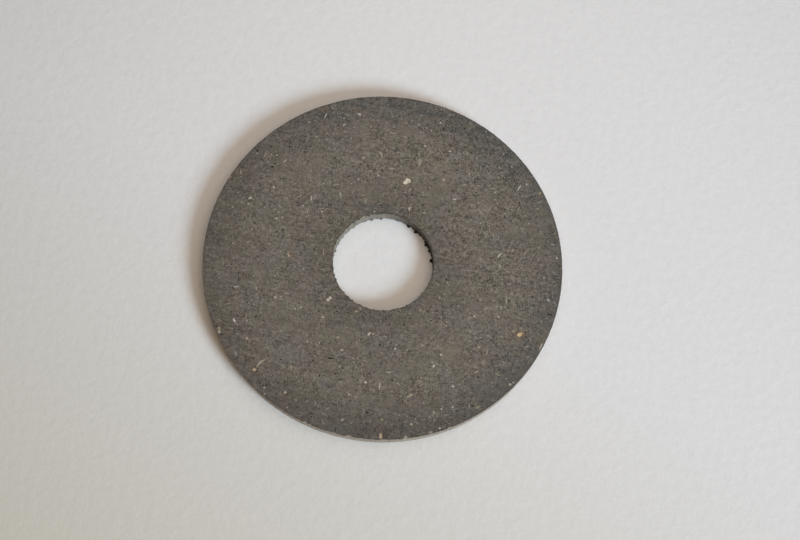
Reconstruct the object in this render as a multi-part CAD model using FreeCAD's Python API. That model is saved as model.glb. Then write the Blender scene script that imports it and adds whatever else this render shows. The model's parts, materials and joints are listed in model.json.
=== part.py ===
import FreeCAD, Part

import os
from math import cos, radians, sin

# Friction washer: one flat disc of moulded, fibre-filled friction composite, cut round and
# pierced by one plain bore. It lies on its lower face. The origin is on the bore's axis in the
# plane of the lower face, and +Z points up through the thickness.

# Driving dimensions, in millimetres
OUTER_DIAMETER = 50.0
BORE_DIAMETER = 14.0
THICKNESS = 2.0
RIM_EDGE_BREAK = 0.12
BORE_EDGE_BREAK = 0.08

# A nick that runs down the whole rim: its direction from +X in degrees, its width along the
# rim and its depth into the rim.
RIM_NICK_DIRECTION = 157.4
RIM_NICK_WIDTH = 0.62
RIM_NICK_DEPTH = 0.34

# Chips out of the rim's upper corner, each as direction from +X in degrees, width, depth.
RIM_CHIPS = [
    (-75.9, 0.85, 0.24),
    (-93.4, 1.10, 0.22),
    (-107.5, 0.70, 0.20),
    (-62.0, 0.60, 0.19),
]

# Chips out of the bore's upper corner, in the same order.
BORE_CHIPS = [
    (119.0, 0.90, 0.20),
    (171.0, 0.60, 0.16),
    (63.0, 0.55, 0.15),
]

RIM_RADIUS = OUTER_DIAMETER / 2
BORE_RADIUS = BORE_DIAMETER / 2


def bite_radius(width, depth):
    """Radius of the round scoop that leaves a hollow of this width and depth."""
    return (width**2 / 4 + depth**2) / (2 * depth)


def at(distance, direction, height):
    """Point at a distance from the bore's axis, in a direction from +X, at a height."""
    angle = radians(direction)
    return FreeCAD.Vector(distance * cos(angle), distance * sin(angle), height)


def disc():
    """The washer's section, with its four broken corners, turned once round the bore's axis."""
    outline = [
        (BORE_RADIUS + BORE_EDGE_BREAK, 0),
        (RIM_RADIUS - RIM_EDGE_BREAK, 0),
        (RIM_RADIUS, RIM_EDGE_BREAK),
        (RIM_RADIUS, THICKNESS - RIM_EDGE_BREAK),
        (RIM_RADIUS - RIM_EDGE_BREAK, THICKNESS),
        (BORE_RADIUS + BORE_EDGE_BREAK, THICKNESS),
        (BORE_RADIUS, THICKNESS - BORE_EDGE_BREAK),
        (BORE_RADIUS, BORE_EDGE_BREAK),
    ]
    corners = [FreeCAD.Vector(distance, 0, height) for distance, height in outline]
    section = Part.Face(Part.makePolygon(corners + corners[:1]))
    return section.revolve(FreeCAD.Vector(0, 0, 0), FreeCAD.Vector(0, 0, 1), 360)


def rim_nick():
    """Upright scoop through the full thickness, standing just outside the rim."""
    radius = bite_radius(RIM_NICK_WIDTH, RIM_NICK_DEPTH)
    foot = at(RIM_RADIUS - RIM_NICK_DEPTH + radius, RIM_NICK_DIRECTION, -THICKNESS)
    return Part.makeCylinder(radius, 3 * THICKNESS, foot)


def rim_chip(direction, width, depth):
    """Ball that bites this deep into the rim at the level of the upper face."""
    radius = bite_radius(width, depth)
    return Part.makeSphere(radius, at(RIM_RADIUS - depth + radius, direction, THICKNESS))


def bore_chip(direction, width, depth):
    """Ball that bites this deep into the bore's wall at the level of the upper face."""
    radius = bite_radius(width, depth)
    return Part.makeSphere(radius, at(BORE_RADIUS + depth - radius, direction, THICKNESS))


scoops = [rim_nick()]
scoops += [rim_chip(*chip) for chip in RIM_CHIPS]
scoops += [bore_chip(*chip) for chip in BORE_CHIPS]
friction_washer = disc().cut(scoops)

os.makedirs("parts", exist_ok=True)
friction_washer.exportStep("parts/friction_washer.step")
print(f"friction_washer: {len(friction_washer.Solids)} solid, {friction_washer.Volume:.1f} mm3")
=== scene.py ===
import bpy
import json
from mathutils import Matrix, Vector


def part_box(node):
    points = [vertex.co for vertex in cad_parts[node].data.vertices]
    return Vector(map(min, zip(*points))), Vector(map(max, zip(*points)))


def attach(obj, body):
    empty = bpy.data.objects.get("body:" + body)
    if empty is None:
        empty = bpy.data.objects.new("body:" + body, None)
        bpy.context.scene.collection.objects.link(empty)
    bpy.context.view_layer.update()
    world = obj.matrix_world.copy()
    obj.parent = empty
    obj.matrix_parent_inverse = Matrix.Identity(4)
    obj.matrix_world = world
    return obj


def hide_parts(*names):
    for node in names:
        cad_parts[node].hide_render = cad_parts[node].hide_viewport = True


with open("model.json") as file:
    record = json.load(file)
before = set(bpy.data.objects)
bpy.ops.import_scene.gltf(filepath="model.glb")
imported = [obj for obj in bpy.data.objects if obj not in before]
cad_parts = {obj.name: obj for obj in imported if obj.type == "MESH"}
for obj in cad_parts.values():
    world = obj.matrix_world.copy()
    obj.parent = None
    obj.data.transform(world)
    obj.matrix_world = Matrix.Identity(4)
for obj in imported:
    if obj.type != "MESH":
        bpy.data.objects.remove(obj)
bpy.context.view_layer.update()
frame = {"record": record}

import json
from collections import namedtuple
from math import cos, pi, radians, sin

import bpy
import numpy as np
from mathutils import Matrix, Vector, noise
from mathutils.geometry import delaunay_2d_cdt

# A worn friction washer of moulded, fibre-filled composite, lying on a pale sheet of paper.
# Lengths are in millimetres until the mesh and the scene are made, which are in metres.
MM = 0.001

LOW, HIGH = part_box("friction_washer")
THICKNESS = (HIGH.z - LOW.z) / MM
RIM = (HIGH.x - LOW.x) / 2 / MM
BORE = next(m["dims"]["r_mm"] for m in frame["record"]["mounts"] if m["name"] == "bore")

rng = np.random.default_rng(2759)


# Camera, fitted to the washer's four visible circles in the photograph

PHOTO_SIZE = (800, 540)
FOCAL_PX = 1400
SENSOR_MM = 36
CAMERA_DISTANCE = 7.815 * RIM
CAMERA_TILT = radians(17.34)
CAMERA_ROLL = radians(7.23)
WASHER_CENTRE_PX = (383.1, 263.8)

level_right = Vector((1, 0, 0))
CAMERA_FORWARD = Vector((0, sin(CAMERA_TILT), -cos(CAMERA_TILT)))
level_up = level_right.cross(CAMERA_FORWARD)
CAMERA_RIGHT = cos(CAMERA_ROLL) * level_right + sin(CAMERA_ROLL) * level_up
CAMERA_UP = cos(CAMERA_ROLL) * level_up - sin(CAMERA_ROLL) * level_right


def sight_line(x_px, y_px):
    """Direction from the camera through a pixel of the photograph."""
    across = x_px - PHOTO_SIZE[0] / 2
    down = y_px - PHOTO_SIZE[1] / 2
    return (CAMERA_FORWARD * FOCAL_PX + CAMERA_RIGHT * across - CAMERA_UP * down).normalized()


CAMERA_PLACE = Vector((0, 0, THICKNESS / 2)) - sight_line(*WASHER_CENTRE_PX) * CAMERA_DISTANCE


def on_face(x_px, y_px):
    """Point of the upper face that shows at a pixel of the photograph."""
    line = sight_line(x_px, y_px)
    place = CAMERA_PLACE + line * ((THICKNESS - CAMERA_PLACE.z) / line.z)
    return np.array([place.x, place.y])


# Unevenness

def wander(points, size, seed):
    """Smooth noise from -1 to 1 at each point, with hills about this far apart."""
    places = np.asarray(points, float) / size + (seed * 17.3, seed * 5.1, seed * 9.7)
    return np.array([noise.noise(place) for place in places])


def ring(angles, radius, height=0):
    """Points at these angles round the bore's axis."""
    level = radius * np.cos(angles), radius * np.sin(angles)
    return np.column_stack([*level, height + 0 * angles])


# Broken places. Each chip is the bite of a ball into a corner, as in the solid.

Bite = namedtuple("Bite", "angle reach radius")


def bite(direction, width, depth, wall, outward):
    """Ball that leaves a hollow of this width and depth in the rim (1) or the bore's wall (-1)."""
    radius = (width**2 / 4 + depth**2) / (2 * depth)
    return Bite(radians(direction), wall + outward * (radius - depth), radius)


RIM_NICK = bite(157.4, 0.62, 0.34, RIM, 1)
RIM_CHIPS = [
    bite(*chip, RIM, 1)
    for chip in [(-75.9, 0.85, 0.24), (-93.4, 1.1, 0.22), (-107.5, 0.7, 0.2), (-62, 0.6, 0.19)]
]
BORE_CHIPS = [
    bite(*chip, BORE, -1) for chip in [(119, 0.9, 0.2), (171, 0.6, 0.16), (63, 0.55, 0.15)]
]


def bitten(angles, edge, bites, outward):
    """The edge's distance from the axis, pushed back where a bite cuts it."""
    for angle, reach, radius in bites:
        side = reach * np.sin(angles - angle)
        ahead = reach * np.cos(angles - angle)
        half = np.sqrt(np.clip(radius**2 - side**2, 0, None))
        pushed = outward * np.minimum(outward * edge, outward * ahead - half)
        edge = np.where((np.abs(side) < radius) & (ahead > 0), pushed, edge)
    return edge


def push_out(points, bites, upright=False):
    """Moves what lies inside a bite's ball, or upright scoop, onto its surface."""
    for angle, reach, radius in bites:
        away = points - (reach * cos(angle), reach * sin(angle), THICKNESS)
        if upright:
            away[:, 2] = 0
        far = np.linalg.norm(away, axis=1)
        inside = far < radius
        points[inside] += away[inside] * (radius / far[inside] - 1)[:, None]


# Crumbs of torn composite along the bore's lower corner: direction in degrees, breadth, how far
# they stand into the bore, and the height of their middle.

CRUMBS = [
    (118.1, 0.42, 0.1, 0.1), (110.3, 0.46, 0.15, 0.12), (99.3, 0.26, 0.17, 0.08),
    (91, 0.2, 0.05, 0.06), (81, 0.34, 0.05, 0.1), (72.5, 0.4, 0.08, 0.12), (65.3, 0.5, 0.3, 0.14),
    (60, 0.34, 0.12, 0.2), (54.4, 0.6, 0.42, 0.18), (49.3, 0.4, 0.14, 0.22), (43, 0.34, 0.1, 0.16),
    (37.5, 0.4, 0.24, 0.2), (34.2, 0.54, 0.42, 0.22), (30.3, 0.36, 0.22, 0.14),
    (25.7, 0.42, 0.34, 0.16), (19.8, 0.36, 0.1, 0.12), (13.5, 0.56, 0.44, 0.22),
    (8, 0.34, 0.1, 0.24), (2, 0.3, 0.08, 0.18), (-9, 0.32, 0.12, 0.14), (-24, 0.28, 0.08, 0.12),
    (-38.6, 0.4, 0.3, 0.2), (-61, 0.3, 0.1, 0.12), (-97, 0.34, 0.1, 0.14), (-134, 0.3, 0.12, 0.12),
    (-157, 0.3, 0.12, 0.14), (-170.4, 0.3, 0.12, 0.14), (169.5, 0.34, 0.15, 0.14),
    (150, 0.26, 0.06, 0.1), (134, 0.34, 0.08, 0.1),
]

# The ragged stretch between them: its middle and half its spread in degrees, its reach and height
TORN_MIDDLE = 33
TORN_HALF_SPREAD = 38
TORN_REACH = 0.13
TORN_HEIGHT = 0.55


def torn_skirt(angles, heights):
    """How far the ragged stretch of the bore's lower corner stands into the bore."""
    off = (np.degrees(angles) - TORN_MIDDLE + 180) % 360 - 180
    window = np.clip(1 - (off / TORN_HALF_SPREAD) ** 2, 0, None) ** 0.5
    ragged = 0.6 + 0.9 * wander(ring(angles, BORE, heights), 0.3, 19)
    fade = np.clip(1 - heights / TORN_HEIGHT, 0, None) ** 0.5
    return TORN_REACH * window * fade * np.clip(ragged, 0, None)


def crumb_reach(angles, heights):
    """How far the crumbs stand into the bore at these places on its wall."""
    total = torn_skirt(angles, heights)
    for direction, breadth, reach, middle in CRUMBS:
        across = (angles - radians(direction) + pi) % (2 * pi) - pi
        along = across * BORE / (breadth / 2)
        up = (heights - middle) / (breadth * 0.45)
        dome = np.clip(1 - along**2 - up**2, 0, None) ** 0.45
        total = np.maximum(total, reach * dome)
    return total


# The four corner loops that the surfaces share

Corner = namedtuple("Corner", "angles broken edge loop")

RIM_STEPS = 1260
BORE_STEPS = 480


def face_relief(points):
    """Depth of a sanded face below the plane that its highest grains reach."""
    return 0.018 + 0.01 * wander(points, 0.9, 3) + 0.007 * wander(points, 0.35, 4)


def corner(steps, wall, outward, height, bites, seed):
    """A sanded, slightly crumbled corner between a face and the rim or the bore's wall."""
    angles = np.arange(steps) * 2 * pi / steps
    places = ring(angles, wall, height)
    fine = wander(places, 0.35, seed)
    crumbled = np.clip(wander(places, 1.4, seed + 1) - 0.28, 0, None) * (0.35 + 0.35 * fine)
    if outward > 0:
        broken = np.clip(0.035 + 0.03 * fine + 0.5 * crumbled, 0.005, None)
    else:
        broken = np.clip(0.025 + 0.26 * fine + 0.5 * crumbled, -0.06, None)
    edge = bitten(angles, wall - outward * broken, bites, outward)
    if outward < 0 and height == 0:
        edge = edge - crumb_reach(angles, np.zeros(angles.shape))
    loop = ring(angles, edge)
    relief = face_relief(ring(angles, edge, height))
    loop[:, 2] = THICKNESS - relief if height else relief
    return Corner(angles, broken, edge, loop)


rim_upper = corner(RIM_STEPS, RIM, 1, THICKNESS, [RIM_NICK] + RIM_CHIPS, 11)
rim_lower = corner(RIM_STEPS, RIM, 1, 0, [RIM_NICK], 13)
bore_upper = corner(BORE_STEPS, BORE, -1, THICKNESS, BORE_CHIPS, 15)
bore_lower = corner(BORE_STEPS, BORE, -1, 0, [], 17)


# What the composite is filled with. A spot is a closed outline in a surface: a pore, a grain or
# a fibre, with the tint that its faces take and how fully it covers the matrix.

Spot = namedtuple("Spot", "outline inside discs depth tint cover")

# Painted shade: pores and slits are tinted near black for the shade in them
PORE_SHADE = (0.014, 0.013, 0.011)
PALE = (0.45, 0.4, 0.335)
WHITE = (0.68, 0.62, 0.53)
CREAM = (0.74, 0.67, 0.55)
TAN = (0.46, 0.35, 0.235)
ORANGE = (0.72, 0.52, 0.31)
RUST = (0.42, 0.25, 0.125)
PINK = (0.6, 0.5, 0.42)
GREEN = (0.29, 0.275, 0.225)
YELLOW = (0.46, 0.42, 0.27)
STRAW = (0.47, 0.43, 0.37)
SAND = (0.5, 0.45, 0.36)
SOOT = (0.022, 0.02, 0.017)


def turned(points, turn):
    """Flat points turned about the origin by an angle in radians."""
    return points @ np.array([[cos(turn), sin(turn)], [-sin(turn), cos(turn)]])


def blob(place, length, width, turn, corners):
    """Irregular rounded outline."""
    steps = (np.arange(corners) + rng.uniform(-0.3, 0.3, corners)) * 2 * pi / corners
    swell = rng.uniform(0.7, 1.15, corners)
    shape = np.column_stack([np.cos(steps) * length / 2, np.sin(steps) * width / 2])
    return place + turned(shape * swell[:, None], turn)


def pore(place, length, width, turn, cover):
    """Small pit with ragged sides and a sunken floor, tinted near black as painted shade."""
    outline = blob(place, length, width, turn, 7)
    floor = place + turned(np.array([[length * 0.16, 0], [-length * 0.16, 0]]), turn)
    depth = width * rng.uniform(0.45, 0.8)
    return Spot(outline, floor, [(place, length * 0.58)], depth, PORE_SHADE, cover)


def grain(place, length, width, turn, tint, cover):
    """Mineral or resin grain, sanded off a little proud of the face."""
    outline = blob(place, length, width, turn, 6 if length < 0.4 else 10)
    return Spot(outline, place[None, :], [(place, length * 0.58)], -0.006, tint, cover)


def fibre(place, length, width, turn, tint, cover, bend=0):
    """Chopped fibre lying in the surface, slightly bent and tapered at both ends."""
    along = np.linspace(-0.5, 0.5, 5)
    middle = np.column_stack([along * length, bend * length * (0.25 - along**2)])
    half = width / 2 * np.array([0.25, 0.9, 1, 0.85, 0.2]) * rng.uniform(0.8, 1.15, 5)
    lift = np.column_stack([np.zeros(5), half])
    outline = place + turned(np.vstack([middle - lift, (middle + lift)[::-1]]), turn)
    spine = place + turned(middle, turn)
    picks = np.linspace(0, 4, max(3, int(2 * length / width)))
    beads = np.column_stack([np.interp(picks, range(5), spine[:, side]) for side in (0, 1)])
    return Spot(outline, spine[1:4], [(bead, width * 0.8) for bead in beads], -0.008, tint, cover)


class Ground:
    """Keeps the spots of one surface apart, on a grid of small cells."""

    CELL = 0.05

    def __init__(self, low, high, is_free):
        self.low, self.high = np.array([low, high], float)
        shape = np.ceil((self.high - self.low) / self.CELL).astype(int)
        across = self.low[0] + (np.arange(shape[0]) + 0.5) * self.CELL
        up = self.low[1] + (np.arange(shape[1]) + 0.5) * self.CELL
        self.across, self.up = np.meshgrid(across, up, indexing="ij")
        self.taken = ~is_free(self.across, self.up)

    def window(self, place, radius):
        """Cells round a disc, as slices, and which of them lie in it."""
        first = np.floor((place - radius - self.low) / self.CELL).astype(int).clip(0)
        last = np.ceil((place + radius - self.low) / self.CELL).astype(int).clip(0)
        cut = (slice(first[0], last[0]), slice(first[1], last[1]))
        return cut, np.hypot(self.across[cut] - place[0], self.up[cut] - place[1]) < radius

    def take(self, spot, gap):
        """Takes the spot's cells."""
        for place, radius in spot.discs:
            cut, inside = self.window(place, radius + gap)
            self.taken[cut] |= inside

    def has_room(self, spot, gap):
        """Whether the spot's cells are all free."""
        for place, radius in spot.discs:
            cut, inside = self.window(place, radius + gap)
            if not inside.any() or (self.taken[cut] & inside).any():
                return False
        return True

    def free(self, points):
        """Which of these points lie in free cells."""
        cells = ((points - self.low) / self.CELL).astype(int)
        cells = cells.clip(0, np.array(self.taken.shape) - 1)
        return ~self.taken[tuple(cells.T)]


# Numbers of chance spots in a surface, and how far apart its plain points are
Mix = namedtuple("Mix", "pores grains fibres spacing")

UPPER_MIX = Mix(1900, 1300, 240, 0.42)
LOWER_MIX = Mix(600, 350, 80, 0.62)
RIM_MIX = Mix(300, 200, 40, 0.15)
BORE_MIX = Mix(90, 50, 16, 0.09)


def random_spots(mix, anywhere):
    """The chance pores, grains and fibres of one surface, the large ones first."""
    for _ in range(mix.fibres):
        length, width = rng.uniform(0.35, 0.95), rng.uniform(0.1, 0.17)
        tint = [STRAW, PALE, TAN][rng.choice(3, p=[0.6, 0.3, 0.1])]
        bend, cover = rng.normal(0, 0.25), rng.beta(1.2, 1.9) * 0.9
        yield fibre(anywhere(), length, width, rng.uniform(0, pi), tint, cover, bend)
    for _ in range(mix.grains):
        length = rng.lognormal(np.log(0.21), 0.36)
        width = length * rng.uniform(0.5, 1)
        tint = [PALE, WHITE, TAN, GREEN][rng.choice(4, p=[0.55, 0.2, 0.1, 0.15])]
        cover = rng.beta(1.3, 2.2) * 0.9
        yield grain(anywhere(), length, width, rng.uniform(0, pi), tint, cover)
    for _ in range(mix.pores):
        length = rng.lognormal(np.log(0.18), 0.32)
        width = length * rng.uniform(0.45, 0.95)
        yield pore(anywhere(), length, width, rng.uniform(0, pi), rng.uniform(0.45, 0.95))


# Marks of the upper face that stand out in the photograph, by the pixel that they show at.
# Sizes are in millimetres, and turns in degrees from +X.

PORE_SIZE = 0.24
PORE_PLACES_PX = [
    (298.6, 141.2), (299.2, 145), (304, 141.8), (323.1, 156.9), (315.5, 156.8), (290.9, 169.2),
    (305.2, 169.2), (306.9, 163.8), (290.3, 179.7), (352.5, 154.2), (277.7, 156.8), (275.6, 190),
    (457.2, 173.5), (493.3, 153.1), (490.4, 152.8), (485.6, 163.3), (479.5, 167.7), (489.1, 159.8),
    (518.1, 173.5), (534.4, 191), (532.2, 200.9), (483, 201.9), (499.3, 175), (447.3, 120.4),
    (459.7, 117.6), (552.4, 232), (554.9, 251.9), (545.9, 247.3), (548.7, 314.2), (551.5, 314.9),
    (477.6, 300.4), (460.1, 300.4), (509.8, 290.2), (469.7, 311.3), (463.6, 318.9), (500.3, 329.1),
    (508.9, 330.1), (528.3, 326.6), (480.8, 342.2), (335.4, 373.5), (316.9, 389.4), (359.9, 358.5),
    (338.6, 356.6), (340.2, 362), (312.8, 360.4), (327.1, 401.5), (331.6, 403.1), (380, 344.5),
    (387.4, 363), (397.6, 396.4), (278.3, 383.1), (266, 378.6), (262.9, 385.2), (266.6, 384.6),
    (257.9, 368.4), (524.9, 332.6), (438, 425.6), (437.4, 429.2), (520.7, 325.7), (526, 337),
    (221, 334.3), (216.6, 326.4), (443, 430), (302.6, 240.5), (308.7, 253), (217, 239.9),
    (231, 178.5), (320.7, 217.8), (311.4, 416.4), (277.9, 382.1), (459.3, 397.1), (426.5, 162.5),
    (458.1, 162.8), (457.8, 170.4), (427.2, 170.1), (406.2, 175.2), (443.5, 171.5), (296.8, 257.6),
    (291.3, 263.4), (507.7, 256.4), (360.6, 311.8), (359.3, 318), (363.9, 321.4), (347.7, 312.4),
]

# Slits: pixels of both ends, width
SLITS_PX = [
    (327, 358, 334.2, 358.4, 0.24), (485.4, 281.9, 490.9, 279, 0.19),
    (425, 173.2, 431.8, 171.2, 0.13), (238.6, 275, 238.8, 281.5, 0.14),
    (506.6, 266.5, 508.4, 263.9, 0.15),
]

GRAIN_SIZE = 0.25
PALE_PLACES_PX = [
    (319.3, 140.1), (334, 133.7), (286.1, 160.3), (303.4, 150.5), (323.5, 183.6), (351.5, 183.6),
    (261.3, 163.5), (499.6, 167.1), (516.2, 161.4), (494.5, 199.6), (480.5, 196.4), (502.2, 180.8),
    (471.6, 205), (465.8, 145), (478.3, 185.6), (485.9, 131.9), (554.7, 233.7), (554.5, 285.9),
    (552.3, 296.6), (480.2, 299.9), (494.2, 300.3), (504.9, 306.1), (469.5, 313.5), (480.3, 337.9),
    (449.6, 338.7), (446.4, 325.9), (447.3, 282.9), (319.5, 342.6), (352.9, 358.2), (315.9, 392.6),
    (431, 433), (265.4, 155.2), (270.5, 181), (367.9, 124.3), (371.4, 126.4), (337.1, 132.9),
    (344.3, 132.1), (368.6, 132.9), (387.1, 134.3), (390.7, 132.9), (427.1, 127.9), (430.7, 130.7),
    (346.4, 209.3), (424, 192), (423, 195), (421, 200), (258.4, 243.9), (269.4, 243.9),
    (282.5, 243.9), (233.2, 243.3), (273.1, 302.1), (248.6, 303.1), (280.6, 296.7), (235.7, 352.9),
    (447.1, 370), (423.6, 402.9), (405.7, 421.4), (375.7, 414), (399.3, 415), (351.4, 422.9),
    (506.4, 378.6), (530, 338.6), (538.6, 334.3), (541.4, 321.4), (537.4, 208.8), (528.5, 223.2),
    (497.5, 203),
]

# Small white grains: pixel, length, width, turn
WHITE_PLACES_PX = [
    (309.3, 122.2, 0.3, 0.26, 0), (277.1, 155, 0.32, 0.26, 0), (250.2, 197.9, 0.6, 0.28, 40),
    (273.9, 187, 0.4, 0.26, -40), (276.4, 218.1, 0.36, 0.28, 60), (344.2, 125, 0.4, 0.2, 60),
    (440.7, 122.9, 0.3, 0.26, 0), (450, 151.4, 0.34, 0.28, 0), (395.4, 348.8, 0.38, 0.28, -30),
    (342, 350, 0.52, 0.22, 15), (374.3, 211.4, 0.32, 0.2, 90), (295, 308.6, 0.3, 0.28, 0),
    (322.2, 211.6, 0.32, 0.26, 0), (474.3, 316.1, 0.34, 0.28, 0), (372.9, 333.9, 0.26, 0.22, 0),
]

# Chips: pixel, length, width, turn, tint, cover
CHIPS_PX = [
    (519.5, 334.4, 0.8, 0.6, 20, ORANGE, 0.95), (522.6, 333.6, 0.42, 0.36, 60, RUST, 0.8),
    (443.9, 179.5, 0.42, 0.36, 60, (0.56, 0.46, 0.36), 0.8),
    (408, 180.6, 0.84, 0.76, 15, CREAM, 0.95), (405.9, 182.6, 0.72, 0.62, 30, CREAM, 0.95),
    (408.6, 181.4, 0.26, 0.2, 0, TAN, 0.8), (330.1, 297.9, 0.5, 0.44, 60, WHITE, 0.9),
    (328.1, 299.9, 0.5, 0.48, 40, WHITE, 0.85), (329.6, 299.8, 0.22, 0.14, 30, TAN, 0.8),
    (369, 334, 0.64, 0.34, 60, WHITE, 0.8), (365.7, 382.1, 0.42, 0.32, 30, WHITE, 0.85),
    (254.3, 369.6, 0.56, 0.46, 20, (0.57, 0.42, 0.29), 0.85),
    (219, 329.7, 1, 0.48, 99, (0.38, 0.32, 0.21), 0.85),
    (219.4, 332, 0.38, 0.32, 30, (0.62, 0.56, 0.46), 0.9),
    (234.4, 320.4, 0.7, 0.3, 124, WHITE, 0.9),
    (380.9, 436.2, 0.84, 0.5, 86, (0.6, 0.43, 0.28), 0.85),
    (380.2, 436.8, 0.54, 0.18, 86, CREAM, 0.7), (439.6, 428.2, 0.42, 0.28, 30, WHITE, 0.8),
    (405.7, 436.8, 0.5, 0.34, 0, PALE, 0.8), (430.7, 432.4, 0.5, 0.34, 10, PALE, 0.8),
    (290.5, 253.6, 0.42, 0.36, 0, (0.15, 0.09, 0.05), 0.8),
    (360.4, 308.2, 0.42, 0.36, 0, (0.4, 0.37, 0.31), 0.8),
    (356.1, 311.4, 0.34, 0.28, 0, (0.48, 0.43, 0.34), 0.8),
    (477.4, 407.2, 0.8, 0.46, 20, (0.36, 0.34, 0.26), 0.6),
    (322.9, 316.9, 0.52, 0.44, 20, PINK, 0.6),
    (249.6, 340.4, 0.64, 0.52, 0, (0.29, 0.22, 0.18), 0.7),
    (247.1, 338.1, 0.38, 0.34, 10, (0.56, 0.43, 0.34), 0.85),
    (285.4, 392.4, 0.42, 0.36, 0, (0.6, 0.5, 0.36), 0.85),
    (363.3, 157.9, 0.34, 0.3, 0, PINK, 0.75), (264.4, 387.5, 0.34, 0.28, 0, PINK, 0.75),
    (498.6, 316.8, 0.46, 0.26, -35, PINK, 0.7), (316.4, 136.4, 0.32, 0.26, 0, PINK, 0.75),
    (421.5, 115.4, 0.5, 0.24, 0, PINK, 0.4), (431, 130.8, 0.36, 0.26, 0, PINK, 0.5),
    (403, 155.4, 0.8, 0.7, 20, GREEN, 0.45), (424.4, 213, 0.46, 0.26, 0, (0.55, 0.48, 0.36), 0.75),
    (348.7, 394.3, 0.36, 0.28, 0, (0.58, 0.48, 0.34), 0.7),
    (235.8, 353.4, 0.7, 0.28, -70, PALE, 0.6),
    (433.8, 366, 0.46, 0.28, 55, (0.62, 0.56, 0.45), 0.85),
    (432.2, 362.6, 0.26, 0.18, 90, SAND, 0.75), (437, 364.2, 0.3, 0.18, 100, SAND, 0.75),
    (440.2, 365.6, 0.28, 0.16, 80, SAND, 0.7), (441.4, 408.8, 0.34, 0.24, 90, WHITE, 0.75),
    (452.6, 407.1, 0.34, 0.28, 0, WHITE, 0.75), (479, 347, 0.52, 0.4, 30, YELLOW, 0.5),
    (359.6, 114, 0.52, 0.42, 0, PINK, 0.8), (425, 145.9, 0.46, 0.28, 10, PINK, 0.8),
    (338, 337.6, 0.46, 0.36, 0, YELLOW, 0.65), (382.1, 419.3, 0.46, 0.36, 0, YELLOW, 0.55),
    (307.1, 401.4, 0.36, 0.3, 30, TAN, 0.4), (411.4, 424.3, 0.46, 0.36, 0, PINK, 0.65),
    (287.1, 407.1, 0.32, 0.26, 0, TAN, 0.75), (539.8, 193.4, 0.46, 0.34, 60, TAN, 0.8),
    (452.9, 386.4, 0.3, 0.26, 45, WHITE, 0.75), (441.1, 354.7, 0.36, 0.3, 0, WHITE, 0.9),
    (510, 384.3, 0.38, 0.32, 0, WHITE, 0.9), (454.6, 199.2, 0.6, 0.18, 8, WHITE, 0.75),
]

# Fibres: pixels of both ends, width, tint, cover and, if bent, by what share of the length
FIBRES_PX = [
    (324.3, 118.4, 327.1, 112.6, 0.15, WHITE, 0.7), (331.5, 106, 334, 110, 0.13, STRAW, 0.7),
    (517.3, 190.7, 520.9, 184.9, 0.16, WHITE, 0.75), (497, 257.6, 502.2, 252.6, 0.16, WHITE, 0.8),
    (233.4, 286.8, 238.8, 286.3, 0.16, WHITE, 0.6), (256.2, 286.4, 256.4, 290, 0.15, WHITE, 0.55),
    (288.1, 252.3, 288.7, 256.4, 0.22, (0.5, 0.41, 0.34), 0.8),
    (288.7, 256.7, 291, 255.2, 0.2, (0.5, 0.41, 0.34), 0.8),
    (379.7, 390, 379.7, 382, 0.17, STRAW, 0.9), (506.3, 303.5, 506.3, 298.5, 0.14, STRAW, 0.8),
    (490, 188.5, 496, 188.5, 0.13, STRAW, 0.7),
    (256.4, 366.6, 265.7, 359.3, 0.32, (0.5, 0.43, 0.33), 0.75, 0.35),
    (450.4, 386.8, 455.4, 386, 0.15, STRAW, 0.75), (452.6, 383.8, 453.4, 389, 0.15, STRAW, 0.75),
    (469.5, 404.3, 469, 408.7, 0.15, STRAW, 0.8), (474.4, 373.2, 478.2, 370.4, 0.15, STRAW, 0.75),
    (341, 198.5, 339.8, 191, 0.26, STRAW, 0.5), (366, 198, 366, 205, 0.12, STRAW, 0.75),
    (379.8, 151, 382.8, 157.4, 0.18, (0.5, 0.44, 0.36), 0.75),
    (388, 168, 396, 169, 0.12, STRAW, 0.7),
    (406.5, 397.6, 413.8, 393.7, 0.22, (0.5, 0.44, 0.33), 0.8),
    (542.8, 343, 539.2, 349.8, 0.13, WHITE, 0.85), (386, 372.7, 391.8, 371.5, 0.15, WHITE, 0.6),
    (265.8, 151.5, 264.6, 156.8, 0.13, STRAW, 0.75),
    (283.4, 162.3, 286.9, 159.3, 0.2, (0.55, 0.48, 0.35), 0.75),
    (421, 191, 427.4, 197.4, 0.11, STRAW, 0.55), (409.3, 207, 409.3, 211, 0.16, WHITE, 0.9),
    (311.1, 195.5, 311.3, 201, 0.14, WHITE, 0.75), (418, 152, 419.8, 157, 0.28, PALE, 0.45, 0.1),
    (420.6, 158.5, 419.4, 166.5, 0.42, PALE, 0.45, -0.1),
]


def between(x1, y1, x2, y2):
    """Middle, length and turn of the line between two pixels of the upper face."""
    start, end = on_face(x1, y1), on_face(x2, y2)
    return (start + end) / 2, np.linalg.norm(end - start), np.arctan2(*(end - start)[::-1])


def marks():
    """The spots that the photograph shows one by one."""
    for x, y in PALE_PLACES_PX:
        length = GRAIN_SIZE * rng.uniform(0.8, 1.25)
        yield grain(on_face(x, y), length, length * 0.75, rng.uniform(0, pi), PALE, 0.75)
    for x1, y1, x2, y2, width, *look in FIBRES_PX:
        middle, length, turn = between(x1, y1, x2, y2)
        yield fibre(middle, length, width, turn, *look)
    for x, y, length, width, turn in WHITE_PLACES_PX:
        yield grain(on_face(x, y), length, width, radians(turn), WHITE, 0.75)
    for x, y, length, width, turn, *look in CHIPS_PX:
        yield grain(on_face(x, y), length, width, radians(turn), *look)
    for *ends, width in SLITS_PX:
        middle, length, turn = between(*ends)
        yield pore(middle, length, width, turn, 0.9)
    for x, y in PORE_PLACES_PX:
        length = PORE_SIZE * rng.uniform(0.8, 1.25)
        yield pore(on_face(x, y), length, length * 0.7, rng.uniform(0, pi), 0.9)


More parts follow.
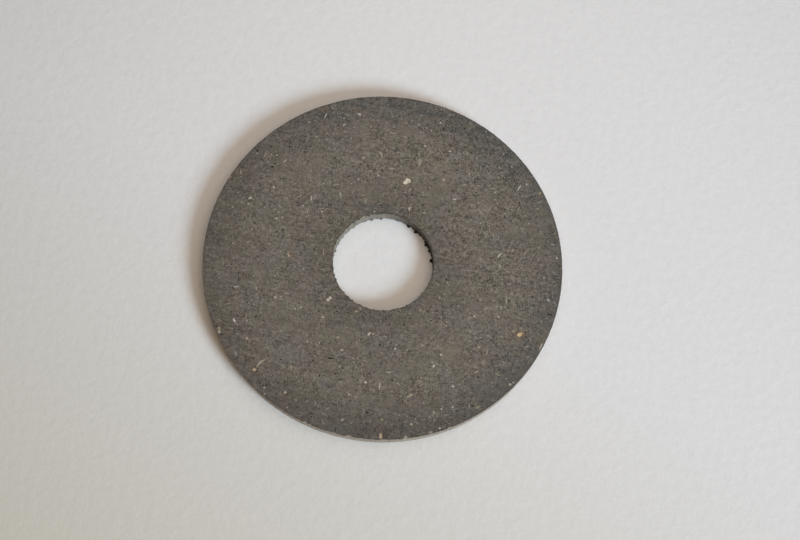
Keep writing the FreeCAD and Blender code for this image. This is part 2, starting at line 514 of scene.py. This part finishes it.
# How far in from the rim the upper face is burnished dark, and how strongly, by direction
RIM_WEAR = [
    (-170, 2.6, 0.6), (-150, 2, 0.4), (-135, 2.4, 0.5), (-115, 4.6, 0.95), (-95, 3.6, 0.8),
    (-80, 4.2, 0.8), (-60, 3.6, 0.7), (-40, 4.8, 0.95), (-20, 3.4, 0.6), (-5, 4.2, 0.65),
    (10, 3.1, 0.62), (30, 3.2, 0.9), (45, 5.2, 1), (60, 4.8, 0.98), (83, 4.4, 0.95),
    (108, 4.4, 0.8), (125, 4.8, 0.78), (143, 3.6, 0.7), (160, 3.8, 0.68), (178, 3.8, 0.78),
]

# Smaller burnished places: pixel, length, breadth, turn in degrees, strength
BURNISHED_PX = [
    (376, 206, 5, 1.4, 4, 0.8), (404, 213, 3.5, 1, -25, 0.5), (338, 298, 4, 1, -50, 0.6),
    (455, 308, 5, 0.9, -16, 0.4), (425, 325, 6, 1, -12, 0.4), (330, 345, 6, 0.8, -8, 0.3),
    (300, 200, 6, 0.8, -6, 0.3), (262, 262, 5, 0.8, -10, 0.3), (480, 268, 6, 0.7, -14, 0.3),
    (385, 316, 4.5, 1, 0, 0.5), (519, 240, 5, 1.6, -10, 0.4), (300, 327, 4.5, 0.8, -12, 0.4),
    (262, 167, 5.5, 0.9, -8, 0.5), (299, 142, 5, 0.8, -6, 0.6), (335, 115, 4, 1.2, -10, 0.5),
]

# Brown stains round some chips: pixel, radius in millimetres, strength
STAINS_PX = [
    (407.5, 183, 1.1, 0.8), (443, 181, 0.8, 0.5), (441, 186, 0.8, 0.3), (248, 339.5, 0.7, 0.6),
    (285.5, 393.5, 0.6, 0.6), (519.5, 335.5, 0.9, 0.9), (254.5, 370.5, 0.9, 0.7),
    (380.7, 433, 0.8, 0.8), (439.5, 430, 0.8, 0.6), (221.5, 330, 0.8, 0.6), (290, 254.5, 0.7, 0.8),
    (448, 144, 1, 0.4), (364, 160, 0.9, 0.4), (323, 318, 0.8, 0.4), (353.5, 312.8, 0.7, 0.6),
]


def ovals(points, table):
    """Strength of a table's soft oval patches at each point."""
    total = np.zeros(len(points))
    for x, y, length, breadth, turn, amount in table:
        away = turned(points[:, :2] - on_face(x, y), -radians(turn)) / (length / 2, breadth / 2)
        total += amount * np.exp(-(away**2).sum(axis=1))
    return total


def stain(points):
    """How brown the upper face is stained at each point, 0 to 1."""
    table = [(x, y, 2 * radius, 2 * radius, 0, amount) for x, y, radius, amount in STAINS_PX]
    ragged = 0.85 + 0.7 * wander(points, 0.6, 23)
    return np.clip(ovals(points, table) * ragged, 0, 1)


def burnish(points):
    """How smooth and dark the upper face is worn at each point, 0 to 1."""
    direction, width, strength = np.array(RIM_WEAR).T
    angle = np.degrees(np.arctan2(points[:, 1], points[:, 0]))
    drift = 0.9 * wander(points * (0.5, 1, 1), 2.2, 22)
    inward = RIM - np.hypot(points[:, 0], points[:, 1]) + drift
    reach = np.interp(angle, direction, width, period=360)
    total = np.interp(angle, direction, strength, period=360)
    total *= np.clip(1.25 - inward / reach, 0, 1)
    ragged = 0.8 + 0.9 * wander(points * (0.4, 1, 1), 0.9, 21)
    return np.clip((total + ovals(points, BURNISHED_PX)) * ragged, 0, 1)


# A surface is drawn flat and triangulated, then wrapped onto the washer.

Sheet = namedtuple("Sheet", "flat depth corner triangles tint cover")

# Gap kept round each spot that the photograph shows, and round each chance one
SHOWN_GAP = 0.02
CHANCE_GAP = 0.04


def draw_sheet(borders, ground, chosen, mix, anywhere):
    """Triangulates what lies inside the first border, and outside the second, round every spot.

    corner gives each point's place in the borders, or -1.
    """
    spots = list(chosen)
    for spot in spots:
        ground.take(spot, SHOWN_GAP)
    for spot in random_spots(mix, anywhere):
        if ground.has_room(spot, CHANCE_GAP):
            ground.take(spot, CHANCE_GAP)
            spots.append(spot)
    steps = [
        np.arange(low + mix.spacing / 2, high, mix.spacing)
        for low, high in zip(ground.low, ground.high)
    ]
    plain = np.stack(np.meshgrid(*steps, indexing="ij"), axis=-1).reshape(-1, 2)
    plain = plain + rng.uniform(-0.3, 0.3, plain.shape) * mix.spacing
    plain = plain[ground.free(plain)]

    closed = borders + [spot.outline for spot in spots]
    given = closed + [spot.inside for spot in spots] + [plain]
    depths = [np.zeros(len(border)) for border in borders]
    depths += [np.full(len(spot.outline), min(spot.depth, 0)) for spot in spots]
    depths += [np.full(len(spot.inside), spot.depth) for spot in spots]
    depths = np.concatenate(depths + [np.zeros(len(plain))])
    starts = np.cumsum([0] + [len(outline) for outline in closed])
    loops = [list(range(a, b)) for a, b in zip(starts, starts[1:])]
    corners = sum(len(border) for border in borders)

    flat, _, triangles, sources, _, within = delaunay_2d_cdt(
        [Vector(point) for point in np.vstack(given)], [], loops, 1, 1e-7
    )
    flat = np.array([tuple(point) for point in flat])
    at_corner = np.array([min((s for s in group if s < corners), default=-1) for group in sources])
    depth = np.array([max((depths[s] for s in group), key=abs, default=0) for group in sources])
    outside = set(range(1, len(borders)))
    kept = [i for i, owners in enumerate(within) if 0 in owners and not outside & set(owners)]
    owner = np.array([max(max(within[i]) - len(borders) + 1, 0) for i in kept])
    tints = np.array([(0, 0, 0)] + [spot.tint for spot in spots], float)
    covers = np.array([0] + [spot.cover for spot in spots], float)
    triangles = np.array([triangles[i] for i in kept])
    return Sheet(flat, depth, at_corner, triangles, tints[owner], covers[owner])


def on_annulus():
    """A chance place on a face."""
    distance = np.sqrt(rng.uniform(BORE**2, RIM**2))
    angle = rng.uniform(0, 2 * pi)
    return np.array([distance * cos(angle), distance * sin(angle)])


def edge_room(x, y, rim, bore, gap):
    """Distance of places from the axis, and the least and most that keep a gap to both edges."""
    angle = np.arctan2(y, x)
    inner = np.interp(angle, bore.angles, bore.edge, period=2 * pi) + gap
    outer = np.interp(angle, rim.angles, rim.edge, period=2 * pi) - gap
    return np.hypot(x, y), inner, outer


def held_inside(spot, rim, bore):
    """The spot with its outline kept off the face's two edges."""
    def held(points):
        distance, inner, outer = edge_room(*points.T, rim, bore, 0.04)
        return points * (np.clip(distance, inner, outer) / distance)[:, None]

    return spot._replace(outline=held(spot.outline), inside=held(spot.inside))


def face_sheet(rim, bore, height, chosen, mix):
    """The upper or lower face, and its points in space."""
    def is_free(x, y):
        distance, inner, outer = edge_room(x, y, rim, bore, 0.05)
        return (distance > inner) & (distance < outer)

    ground = Ground((-RIM, -RIM), (RIM, RIM), is_free)
    borders = [rim.loop[:, :2], bore.loop[:, :2]]
    chosen = [held_inside(spot, rim, bore) for spot in chosen]
    sheet = draw_sheet(borders, ground, chosen, mix, on_annulus)
    place = np.column_stack([sheet.flat, np.full(len(sheet.flat), height)])
    depth = np.clip(face_relief(place) + sheet.depth, 0, None)
    place[:, 2] = THICKNESS - depth if height else depth
    shared = sheet.corner >= 0
    place[shared] = np.vstack([rim.loop, bore.loop])[sheet.corner[shared]]
    return sheet, place


def wall_relief(points):
    """Depth of a cut wall below the circle that its highest grains reach."""
    squashed = points * (1, 1, 2.5)
    return 0.013 + 0.008 * wander(squashed, 0.7, 5) + 0.005 * wander(squashed, 0.25, 6)


# Rows of points up an unrolled wall, and how far its broken corners reach up or down it
WALL_ROWS = 16
BREAK_HEIGHT = 0.13


def wall_sheet(wall, outward, lower, upper, mix):
    """The rim or the bore's wall, unrolled along its length, and its points in space."""
    girth = 2 * pi * wall
    turns = np.append(lower.angles, 2 * pi) * wall
    sides = np.linspace(0, THICKNESS, WALL_ROWS + 1)[1:-1]
    outline = np.vstack([
        np.column_stack([turns, 0 * turns]),
        np.column_stack([0 * sides + girth, sides]),
        np.column_stack([turns, 0 * turns + THICKNESS])[::-1],
        np.column_stack([0 * sides, sides])[::-1],
    ])

    def is_free(along, up):
        inside_ends = (along > 0.08) & (along < girth - 0.08)
        return inside_ends & (up > 0.04) & (up < THICKNESS - 0.04)

    def anywhere():
        return np.array([rng.uniform(0, girth), rng.uniform(0, THICKNESS)])

    ground = Ground((0, 0), (girth, THICKNESS), is_free)
    sheet = draw_sheet([outline], ground, [], mix, anywhere)
    along, height = sheet.flat.T
    angle = np.where(np.isclose(along, girth), 0, along / wall)
    inset = wall_relief(ring(angle, wall, height)) + sheet.depth
    for broken, below in ((lower.broken, height), (upper.broken, THICKNESS - height)):
        width = np.interp(angle, lower.angles, broken, period=2 * pi)
        inset = np.maximum(inset, width * np.clip(1 - below / BREAK_HEIGHT, 0, None))
    inset = np.clip(inset, 0, None)
    if outward > 0:
        place = ring(angle, wall - inset, height)
        push_out(place, RIM_CHIPS)
        push_out(place, [RIM_NICK], upright=True)
    else:
        torn = crumb_reach(angle, height)
        roughened = 1 + 0.35 * wander(ring(angle, wall, height), 0.12, 8)
        place = ring(angle, wall + (inset - torn * roughened), height)
        push_out(place, BORE_CHIPS)
        black = np.clip((torn[sheet.triangles].max(axis=1) - 0.05) / 0.08, 0, 0.97)
        sheet.tint[black > sheet.cover] = SOOT
        sheet.cover[:] = np.maximum(sheet.cover, black)
    free = np.full((len(sides), 3), np.nan)
    exact = np.vstack([lower.loop, lower.loop[:1], free, upper.loop[:1], upper.loop[::-1], free])
    shared = (sheet.corner >= 0) & ~np.isnan(exact[sheet.corner.clip(0), 0])
    place[shared] = exact[sheet.corner[shared]]
    return sheet, place


# Bake map. The two faces are discs side by side, and the walls are strips under them.

MAP_PX = 1024
MAP_MARGIN_PX = 16
UPPER_PX_PER_MM = 13
LOWER_PX_PER_MM = 7
LOWER_LEFT_PX = 666
WALL_PX_PER_MM = 12
BORE_STRIP_PX = 100
STRIP_GAP = 0.6


def disc_map(sheet, place, px_per_mm, left_px):
    """Map places of a face's corners."""
    half = RIM * px_per_mm
    middle = (left_px + half, MAP_PX - MAP_MARGIN_PX - half)
    return (place[:, :2] * px_per_mm + middle)[sheet.triangles] / MAP_PX


def strip_map(sheet, strips, girth, first_px):
    """Map places of a wall's corners, folded into strips of equal length."""
    corners = sheet.flat[sheet.triangles]
    run = girth / strips
    strip = np.minimum(corners[:, :, 0].mean(axis=1) // run, strips - 1)[:, None]
    along = corners[:, :, 0] - strip * run
    up = corners[:, :, 1] + strip * (THICKNESS + STRIP_GAP)
    places = np.stack([along, up], axis=-1) * WALL_PX_PER_MM
    return (places + (MAP_MARGIN_PX, first_px)) / MAP_PX


def bake_map(sheets, places):
    """Where the corners of all triangles lie on the bake map."""
    upper, lower, rim, bore = sheets
    return np.vstack([
        disc_map(upper, places[0], UPPER_PX_PER_MM, MAP_MARGIN_PX),
        disc_map(lower, places[1], LOWER_PX_PER_MM, LOWER_LEFT_PX)[:, ::-1],
        strip_map(rim, 2, 2 * pi * RIM, MAP_MARGIN_PX),
        strip_map(bore, 1, 2 * pi * BORE, BORE_STRIP_PX)[:, ::-1],
    ])


def in_scene(name, data):
    """An object of this data, in the scene."""
    thing = bpy.data.objects.new(name, data)
    bpy.context.scene.collection.objects.link(thing)
    return thing


def carry(mesh, name, domain, values):
    """Gives the mesh's faces or points values that its materials read."""
    kind, field = ("FLOAT_VECTOR", "vector") if values.ndim == 2 else ("FLOAT", "value")
    mesh.attributes.new(name, kind, domain).data.foreach_set(field, values.ravel())


def build_washer(materials):
    """The washer as one closed mesh."""
    sheets, places = zip(
        face_sheet(rim_upper, bore_upper, THICKNESS, marks(), UPPER_MIX),
        face_sheet(rim_lower, bore_lower, 0, [], LOWER_MIX),
        wall_sheet(RIM, 1, rim_lower, rim_upper, RIM_MIX),
        wall_sheet(BORE, -1, bore_lower, bore_upper, BORE_MIX),
    )
    corner_maps = bake_map(sheets, places)
    starts = np.cumsum([0] + [len(sheet.flat) for sheet in sheets])
    # The lower face and the bore's wall are drawn from behind, so their triangles turn round.
    ways = (1, -1, 1, -1)
    triangles = np.vstack([
        sheet.triangles[:, ::way] + start for sheet, way, start in zip(sheets, ways, starts)
    ])
    places = np.round(np.vstack(places), 6) + 0
    places, index = np.unique(places, axis=0, return_inverse=True)
    triangles = index.reshape(-1)[triangles]

    mesh = bpy.data.meshes.new("friction_washer")
    mesh.from_pydata((places * MM).tolist(), [], triangles.tolist())
    for material in materials:
        mesh.materials.append(material)
    slots = np.repeat([0, 0, 1, 2], [len(sheet.triangles) for sheet in sheets])
    mesh.polygons.foreach_set("material_index", slots.astype(np.int32))
    carry(mesh, "filler_tint", "FACE", np.vstack([sheet.tint for sheet in sheets]))
    carry(mesh, "filler_cover", "FACE", np.concatenate([sheet.cover for sheet in sheets]))
    carry(mesh, "burnished", "POINT", burnish(places))
    carry(mesh, "stained", "POINT", stain(places))
    mesh.uv_layers.new(name="OFBake").uv.foreach_set("vector", corner_maps.ravel())
    mesh.polygons.foreach_set("use_smooth", np.ones(len(triangles), bool))
    mesh.set_sharp_from_angle(angle=radians(35))
    mesh.update()
    return in_scene("composite_washer", mesh)


# Materials. Texture places are in millimetres on the washer.

def rgb(red, green, blue):
    """Colour with full alpha."""
    return (red, green, blue, 1)


# Colour of the backdrop behind the paper
BACKDROP = rgb(0.62, 0.62, 0.62)

# Direction of the sanding marks, in degrees from +X
SANDING_TURN = -6


class Tree:
    """Makes the nodes of a material or of the world."""

    def __init__(self, owner):
        owner.use_nodes = True
        self.owner = owner
        self.tree = owner.node_tree
        self.tree.nodes.clear()

    def add(self, kind, inputs=(), **settings):
        """A node with its settings, and its inputs set to values or linked to sockets."""
        node = self.tree.nodes.new(kind)
        for key, value in settings.items():
            setattr(node, key, value)
        for key, value in dict(inputs).items():
            if isinstance(value, bpy.types.NodeSocket):
                self.tree.links.new(value, node.inputs[key])
            else:
                node.inputs[key].default_value = value
        return node


class Surface(Tree):
    """Short names for the nodes of one material."""

    def __init__(self, name):
        super().__init__(bpy.data.materials.new(name))
        self.here = self.places()

    def places(self, squeeze=(1, 1, 1), turn=0):
        """Places in millimetres, along axes turned about the bore's and squeezed by these."""
        inputs = {
            "Vector": self.add("ShaderNodeTexCoord").outputs["Object"],
            "Scale": [MM / side for side in squeeze], "Rotation": (0, 0, radians(turn)),
        }
        return self.add("ShaderNodeMapping", inputs, vector_type="TEXTURE").outputs["Vector"]

    def carried(self, name):
        """What the mesh carries under this name."""
        return self.add("ShaderNodeAttribute", attribute_name=name).outputs

    def noise(self, per_mm, detail, roughness, seed, places=None):
        """Noise from 0 to 1, with this many hills to a millimetre."""
        inputs = {
            "Vector": places or self.here, "W": seed, "Scale": per_mm, "Detail": detail,
            "Roughness": roughness,
        }
        return self.add("ShaderNodeTexNoise", inputs, noise_dimensions="4D").outputs["Fac"]

    def spread(self, value, low, high, new_low=0, new_high=1):
        """Maps a range of values onto another, and holds it there."""
        inputs = {0: value, 1: low, 2: high, 3: new_low, 4: new_high}
        return self.add("ShaderNodeMapRange", inputs, clamp=True).outputs[0]

    def math(self, operation, first, second):
        """One sum on two values."""
        return self.add("ShaderNodeMath", {0: first, 1: second}, operation=operation).outputs[0]

    def times(self, first, *others):
        """Values multiplied."""
        for other in others:
            first = self.math("MULTIPLY", first, other)
        return first

    def vector(self, operation, first, second=(0, 0, 0)):
        """One sum on two vectors."""
        return self.add("ShaderNodeVectorMath", {0: first, 1: second}, operation=operation).outputs

    def mix(self, amount, first, second):
        """A colour between two others."""
        inputs = {0: amount, 6: first, 7: second}
        return self.add("ShaderNodeMix", inputs, data_type="RGBA").outputs[2]

    def shaded(self, colour, *shades):
        """The colour made lighter or darker by each shade."""
        for shade in shades:
            inputs = {0: colour, "Scale": shade}
            colour = self.add("ShaderNodeVectorMath", inputs, operation="SCALE").outputs[0]
        return colour

    def from_axis(self):
        """Distance from the bore's axis."""
        return self.vector("LENGTH", self.vector("MULTIPLY", self.here, (1, 1, 0))[0])["Value"]

    def along(self, direction):
        """Distance along a direction, from -1 at one side of the rim to 1 at the other."""
        way = (cos(radians(direction)) / RIM, sin(radians(direction)) / RIM, 0)
        return self.vector("DOT_PRODUCT", self.here, way)["Value"]

    def height(self):
        """Height above the lower face."""
        return self.add("ShaderNodeSeparateXYZ", {0: self.here}).outputs[2]

    def filled(self, matrix):
        """Lays the grains, fibres and pores that the mesh carries over the matrix's colour."""
        mottle = self.spread(self.noise(6, 2, 0.6, 11), 0.35, 0.65, 0.72, 1.22)
        tint = self.shaded(self.carried("filler_tint")["Vector"], mottle)
        return self.mix(self.carried("filler_cover")["Fac"], matrix, tint)

    def dots(self, places, per_mm, share, radius, seed):
        """Ragged dots at chance places in the plane, this many cells to a millimetre.

        share is the part of the cells that hold one, and the radius is in cells.
        """
        ragged = {"Vector": places, "Scale": 7, "Detail": 1}
        ragged = self.shaded(self.add("ShaderNodeTexNoise", ragged).outputs["Color"], 0.12)
        where = self.vector("ADD", places, (seed * 13.7, seed * 7.3, 0))[0]
        inputs = {"Vector": self.vector("ADD", where, ragged)[0], "Scale": per_mm}
        cells = self.add("ShaderNodeTexVoronoi", inputs, voronoi_dimensions="2D").outputs
        chance = self.add("ShaderNodeSeparateColor", {0: cells["Color"]}).outputs
        size = self.spread(chance[1], 0, 1, radius * 0.6, radius * 1.3)
        near = self.math("DIVIDE", cells["Distance"], size)
        held = self.math("LESS_THAN", chance[0], share)
        return self.times(self.spread(near, 0.6, 1, 1, 0), held), chance[2]

    def bump(self, height, depth_mm):
        """Slopes of a surface whose height of 0 to 1 is this deep."""
        inputs = {"Height": height, "Distance": depth_mm * MM}
        return self.add("ShaderNodeBump", inputs).outputs["Normal"]

    def finish(self, colour, roughness, normal, specular, glow=0):
        """Ends the material in one plain shader, which shines as the backdrop does by glow."""
        inputs = {
            "Base Color": colour, "Roughness": roughness, "Normal": normal,
            "Specular IOR Level": specular, "Emission Color": BACKDROP, "Emission Strength": glow,
        }
        shader = self.add("ShaderNodeBsdfPrincipled", inputs)
        self.add("ShaderNodeOutputMaterial", {"Surface": shader.outputs[0]})
        return self.owner


def worn_ring_and_edge_shade(nodes):
    """Shades of a face: palest half-way out where it rubs, darker towards the rim and the bore.

    The dark band along the rim is deepest at the near left. Painted shade darkens a thin line
    along the bore's edge and along the rim's edge.
    """
    distance = nodes.from_axis()
    drift = nodes.spread(nodes.noise(0.12, 2, 0.5, 12), 0.3, 0.7, -1.5, 1.5)
    drifted = nodes.math("ADD", distance, drift)
    depth = nodes.spread(nodes.along(235), -0.6, 0.6, 0.1, 0.2)
    band = nodes.times(nodes.spread(drifted, 17.5, 24.5), depth)
    outer = nodes.math("SUBTRACT", 1, band)
    inner = nodes.spread(drifted, 7, 14, 0.8, 1)
    # Painted shade: thin dark lines along the bore's edge and the rim's edge
    bore_edge_shade = nodes.spread(distance, BORE + 0.1, BORE + 0.4, 0.8, 1)
    edge = nodes.spread(distance, RIM - 0.35, RIM - 0.12, 1, 0.84)
    return [outer, inner, bore_edge_shade, edge]


def fine_fibres(nodes):
    """Thin short fibres lying every way, 0 to 1."""
    total = 0
    for turn, share, seed in [(12, 0.07, 5), (68, 0.05, 6), (-47, 0.05, 7), (98, 0.05, 8)]:
        layer, bright = nodes.dots(nodes.places((4.5, 1, 1), turn), 3.4, share, 0.25, seed)
        total = nodes.math("MAXIMUM", total, nodes.times(layer, bright))
    return total


def face_pits(nodes, clusters):
    """Small pits, 0 to 1, crowded in clusters, which the face colours near black as painted shade.
    """
    crowded = nodes.spread(clusters, 0.4, 0.62, 0.04, 0.3)
    pits, depth = nodes.dots(nodes.places((1, 1.5, 1), turn=7), 2.7, crowded, 0.28, 2)
    small, faint = nodes.dots(nodes.here, 4.6, nodes.times(crowded, 1.6), 0.27, 3)
    pits = nodes.times(pits, nodes.spread(depth, 0, 1, 0.45, 0.95))
    small = nodes.times(small, nodes.spread(faint, 0, 1, 0.3, 0.8))
    return nodes.math("MAXIMUM", pits, small)


def face_matrix(nodes, burnished):
    """Brown, greenish and bluish patches, stained round some chips and darker where burnished,
    with a painted cool sheen on the burnished parts towards the upper right.
    """
    patches = nodes.spread(nodes.noise(0.45, 2, 0.5, 1), 0.38, 0.62)
    matrix = nodes.mix(patches, rgb(0.168, 0.149, 0.116), rgb(0.172, 0.146, 0.125))
    cooler = nodes.spread(nodes.noise(0.38, 2, 0.5, 14), 0.5, 0.66, 0, 0.6)
    matrix = nodes.mix(cooler, matrix, rgb(0.152, 0.146, 0.129))
    stained = nodes.times(nodes.carried("stained")["Fac"], 0.8)
    matrix = nodes.mix(stained, matrix, rgb(0.19, 0.145, 0.1))
    # Painted sheen: the burnished colour turns from brown to a cool grey towards the upper right,
    # in streaks along the sanding
    layers = nodes.noise(1, 3, 0.6, 15, nodes.places((0.2, 1, 1), SANDING_TURN))
    lean = nodes.math("ADD", nodes.along(35), nodes.spread(layers, 0.3, 0.7, -1.1, 0.9))
    sheen = nodes.spread(lean, -0.5, 0.3)
    worn_and_sheen = nodes.mix(sheen, rgb(0.121, 0.103, 0.088), rgb(0.096, 0.097, 0.093))
    return nodes.mix(nodes.times(burnished, 0.78), matrix, worn_and_sheen)


def sanded_face():
    """Sanded composite: patchy, finely speckled, streaked by the sanding and pitted."""
    nodes = Surface("sanded_face")
    burnished = nodes.carried("burnished")["Fac"]
    clusters = nodes.noise(0.3, 3, 0.62, 13)
    keen = nodes.times(
        nodes.spread(nodes.along(50), -0.8, 0.8, 0.85, 1.2),
        nodes.spread(clusters, 0.36, 0.64, 0.6, 1.35),
        nodes.spread(burnished, 0, 1, 1, 0.75),
    )
    speckle = nodes.noise(2.8, 3, 0.7, 3)
    specks = nodes.times(nodes.spread(speckle, 0.28, 0.72, -0.6, 0.6), keen)
    specks = nodes.math("ADD", specks, 1)
    streaks = nodes.noise(3.6, 4, 0.65, 4, nodes.places((0.22, 1, 1), SANDING_TURN))
    streaks = nodes.spread(streaks, 0.3, 0.7, 0.8, 1.2)
    scratches = nodes.noise(1.4, 2, 0.7, 17, nodes.places((0.08, 1, 1), SANDING_TURN))
    scratches = nodes.spread(scratches, 0.3, 0.7, 0.91, 1.09)
    matrix = nodes.shaded(face_matrix(nodes, burnished), specks, streaks, scratches)

    pale, hue = nodes.dots(nodes.here, 2.9, 0.14, 0.23, 1)
    tint = nodes.mix(hue, rgb(0.43, 0.385, 0.32), rgb(0.38, 0.36, 0.33))
    fibres = nodes.times(fine_fibres(nodes), 0.55)
    pale = nodes.math("MAXIMUM", nodes.times(pale, keen, 0.5), fibres)
    matrix = nodes.mix(pale, matrix, tint)
    pits = face_pits(nodes, clusters)
    # Painted shade: the pits are coloured near black
    matrix = nodes.mix(pits, matrix, rgb(0.016, 0.015, 0.013))

    height = nodes.math("SUBTRACT", speckle, nodes.times(pits, 1.5))
    roughness = nodes.spread(speckle, 0.3, 0.7, 0.7, 0.88)
    colour = nodes.shaded(nodes.filled(matrix), *worn_ring_and_edge_shade(nodes))
    return nodes.finish(colour, roughness, nodes.bump(height, 0.02), 0.3)


def sawn_rim():
    """Rim: paler than the faces and paler still low down, with upright marks, and painted light
    that makes it paler at the near left, the side the window lamp leaves in shade.
    """
    nodes = Surface("sawn_rim")
    patches = nodes.spread(nodes.noise(0.5, 3, 0.6, 6), 0.35, 0.65)
    matrix = nodes.mix(patches, rgb(0.365, 0.305, 0.246), rgb(0.32, 0.264, 0.213))
    speckle = nodes.noise(4, 3, 0.7, 7, nodes.places((1, 1, 0.4)))
    speckled = nodes.spread(speckle, 0.3, 0.7, 0.7, 1.3)
    paler_low_down = nodes.spread(nodes.height(), 0.2, 1.9, 1.12, 0.87)
    # Painted light: paler at the near left, where the rim is turned from the window lamp
    painted_light_near_left = nodes.spread(nodes.along(212), 0.1, 0.9, 0.93, 1.2)
    layers = nodes.noise(1.6, 2, 0.6, 16, nodes.places((6, 6, 0.7)))
    layered = nodes.spread(layers, 0.35, 0.65, 0.88, 1.1)
    matrix = nodes.shaded(matrix, speckled, paler_low_down, painted_light_near_left, layered)
    return nodes.finish(nodes.filled(matrix), 0.85, nodes.bump(speckle, 0.03), 0.25)


def drilled_bore():
    """Bore wall: greenish grey with upright marks of the cutter, dark on the torn side, partly
    real blackening and partly painted shade, as that side faces away from the window lamp; darker
    low down.
    """
    nodes = Surface("drilled_bore")
    patches = nodes.spread(nodes.noise(0.6, 3, 0.6, 8), 0.35, 0.65)
    matrix = nodes.mix(patches, rgb(0.26, 0.235, 0.184), rgb(0.23, 0.204, 0.166))
    wall = BORE / RIM
    # Partly real blackening, partly painted shade on the side turned from the window lamp, darker
    # low down
    grime_and_shade = nodes.spread(
        nodes.along(TORN_MIDDLE), wall * cos(radians(TORN_HALF_SPREAD + 20)), wall
    )
    grime_and_shade = nodes.times(grime_and_shade, nodes.spread(nodes.height(), 0.6, 1.6, 1.15, 0.72))
    matrix = nodes.mix(grime_and_shade, matrix, rgb(0.105, 0.095, 0.083))
    speckle = nodes.noise(4.5, 3, 0.7, 9, nodes.places((1, 1, 0.25)))
    matrix = nodes.shaded(matrix, nodes.spread(speckle, 0.3, 0.7, 0.65, 1.3))
    return nodes.finish(nodes.filled(matrix), 0.85, nodes.bump(speckle, 0.03), 0.25)


def paper():
    """Matt white paper with a faint tooth, and painted shade that makes it darker and creamier
    towards the near left.

    Beyond the picture it fades into the backdrop.
    """
    nodes = Surface("paper")
    tooth = nodes.noise(0.8, 5, 0.66, 10)
    shade = nodes.spread(tooth, 0.35, 0.65)
    colour = nodes.mix(shade, rgb(0.776, 0.776, 0.784), rgb(0.81, 0.81, 0.818))
    # Painted shade: the falloff of the light, darker and warmer towards the near left
    painted_shade = nodes.spread(nodes.along(250), 0, 3)
    colour = nodes.mix(painted_shade, colour, rgb(0.655, 0.631, 0.537))
    faded = nodes.spread(nodes.from_axis(), 75, 230)
    colour = nodes.mix(faded, colour, rgb(0, 0, 0))
    return nodes.finish(colour, 0.9, nodes.bump(tooth, 0.08), 0.2, faded)


# Stage, light and camera, in metres

FLOOR_HALF = 1.5


def build_floor():
    """The sheet of paper that the washer lies on."""
    half = FLOOR_HALF
    corners = [(-half, -half, 0), (half, -half, 0), (half, half, 0), (-half, half, 0)]
    mesh = bpy.data.meshes.new("paper_floor")
    mesh.from_pydata(corners, [], [(0, 1, 2, 3)])
    mesh.materials.append(paper())
    return in_scene("paper_floor", mesh)


def add_lamp(name, azimuth, elevation, distance, size, energy, colour):
    """Round soft lamp, aimed at the washer."""
    light = bpy.data.lights.new(name, "AREA")
    light.shape, light.size = "DISK", size
    light.energy, light.color = energy, colour
    lamp = in_scene(name, light)
    azimuth, elevation = radians(azimuth), radians(elevation)
    toward = Vector((cos(azimuth) * cos(elevation), sin(azimuth) * cos(elevation), sin(elevation)))
    lamp.location = toward * distance
    lamp.rotation_euler = toward.to_track_quat("Z", "Y").to_euler()
    lamp.visible_camera = False


def light_room():
    """Warm, even light from the room, which the camera sees as the backdrop's grey."""
    room = Tree(bpy.data.worlds.new("room"))
    lit = room.add("ShaderNodeBackground", {"Color": rgb(0.085, 0.062, 0.04)})
    seen = room.add("ShaderNodeBackground", {"Color": BACKDROP})
    by_camera = room.add("ShaderNodeLightPath").outputs["Is Camera Ray"]
    both = room.add("ShaderNodeMixShader", {0: by_camera, 1: lit.outputs[0], 2: seen.outputs[0]})
    room.add("ShaderNodeOutputWorld", {"Surface": both.outputs[0]})
    bpy.context.scene.world = room.owner


def add_camera():
    """The photograph's view."""
    lens = bpy.data.cameras.new("camera")
    lens.sensor_width = SENSOR_MM
    lens.lens = FOCAL_PX * SENSOR_MM / PHOTO_SIZE[0]
    lens.clip_start = 0.01
    camera = in_scene("camera", lens)
    axes = Matrix([CAMERA_RIGHT, CAMERA_UP, -CAMERA_FORWARD]).transposed().to_4x4()
    camera.matrix_world = Matrix.Translation(CAMERA_PLACE * MM) @ axes
    bpy.context.scene.camera = camera


washer = build_washer([sanded_face(), sawn_rim(), drilled_bore()])
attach(washer, "root")
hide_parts("friction_washer")

build_floor()
add_lamp("window", -37, 28.1, 0.691, 0.255, 4.86, (0.712, 0.863, 1))
add_lamp("ceiling", 88.9, 66.9, 0.093, 0.147, 0.0316, (1, 0.993, 0.989))
add_lamp("overhead", -32.8, 71.8, 0.234, 0.319, 0.178, (1, 0.73, 0.48))
light_room()
add_camera()
bpy.context.scene.view_settings.view_transform = "Standard"
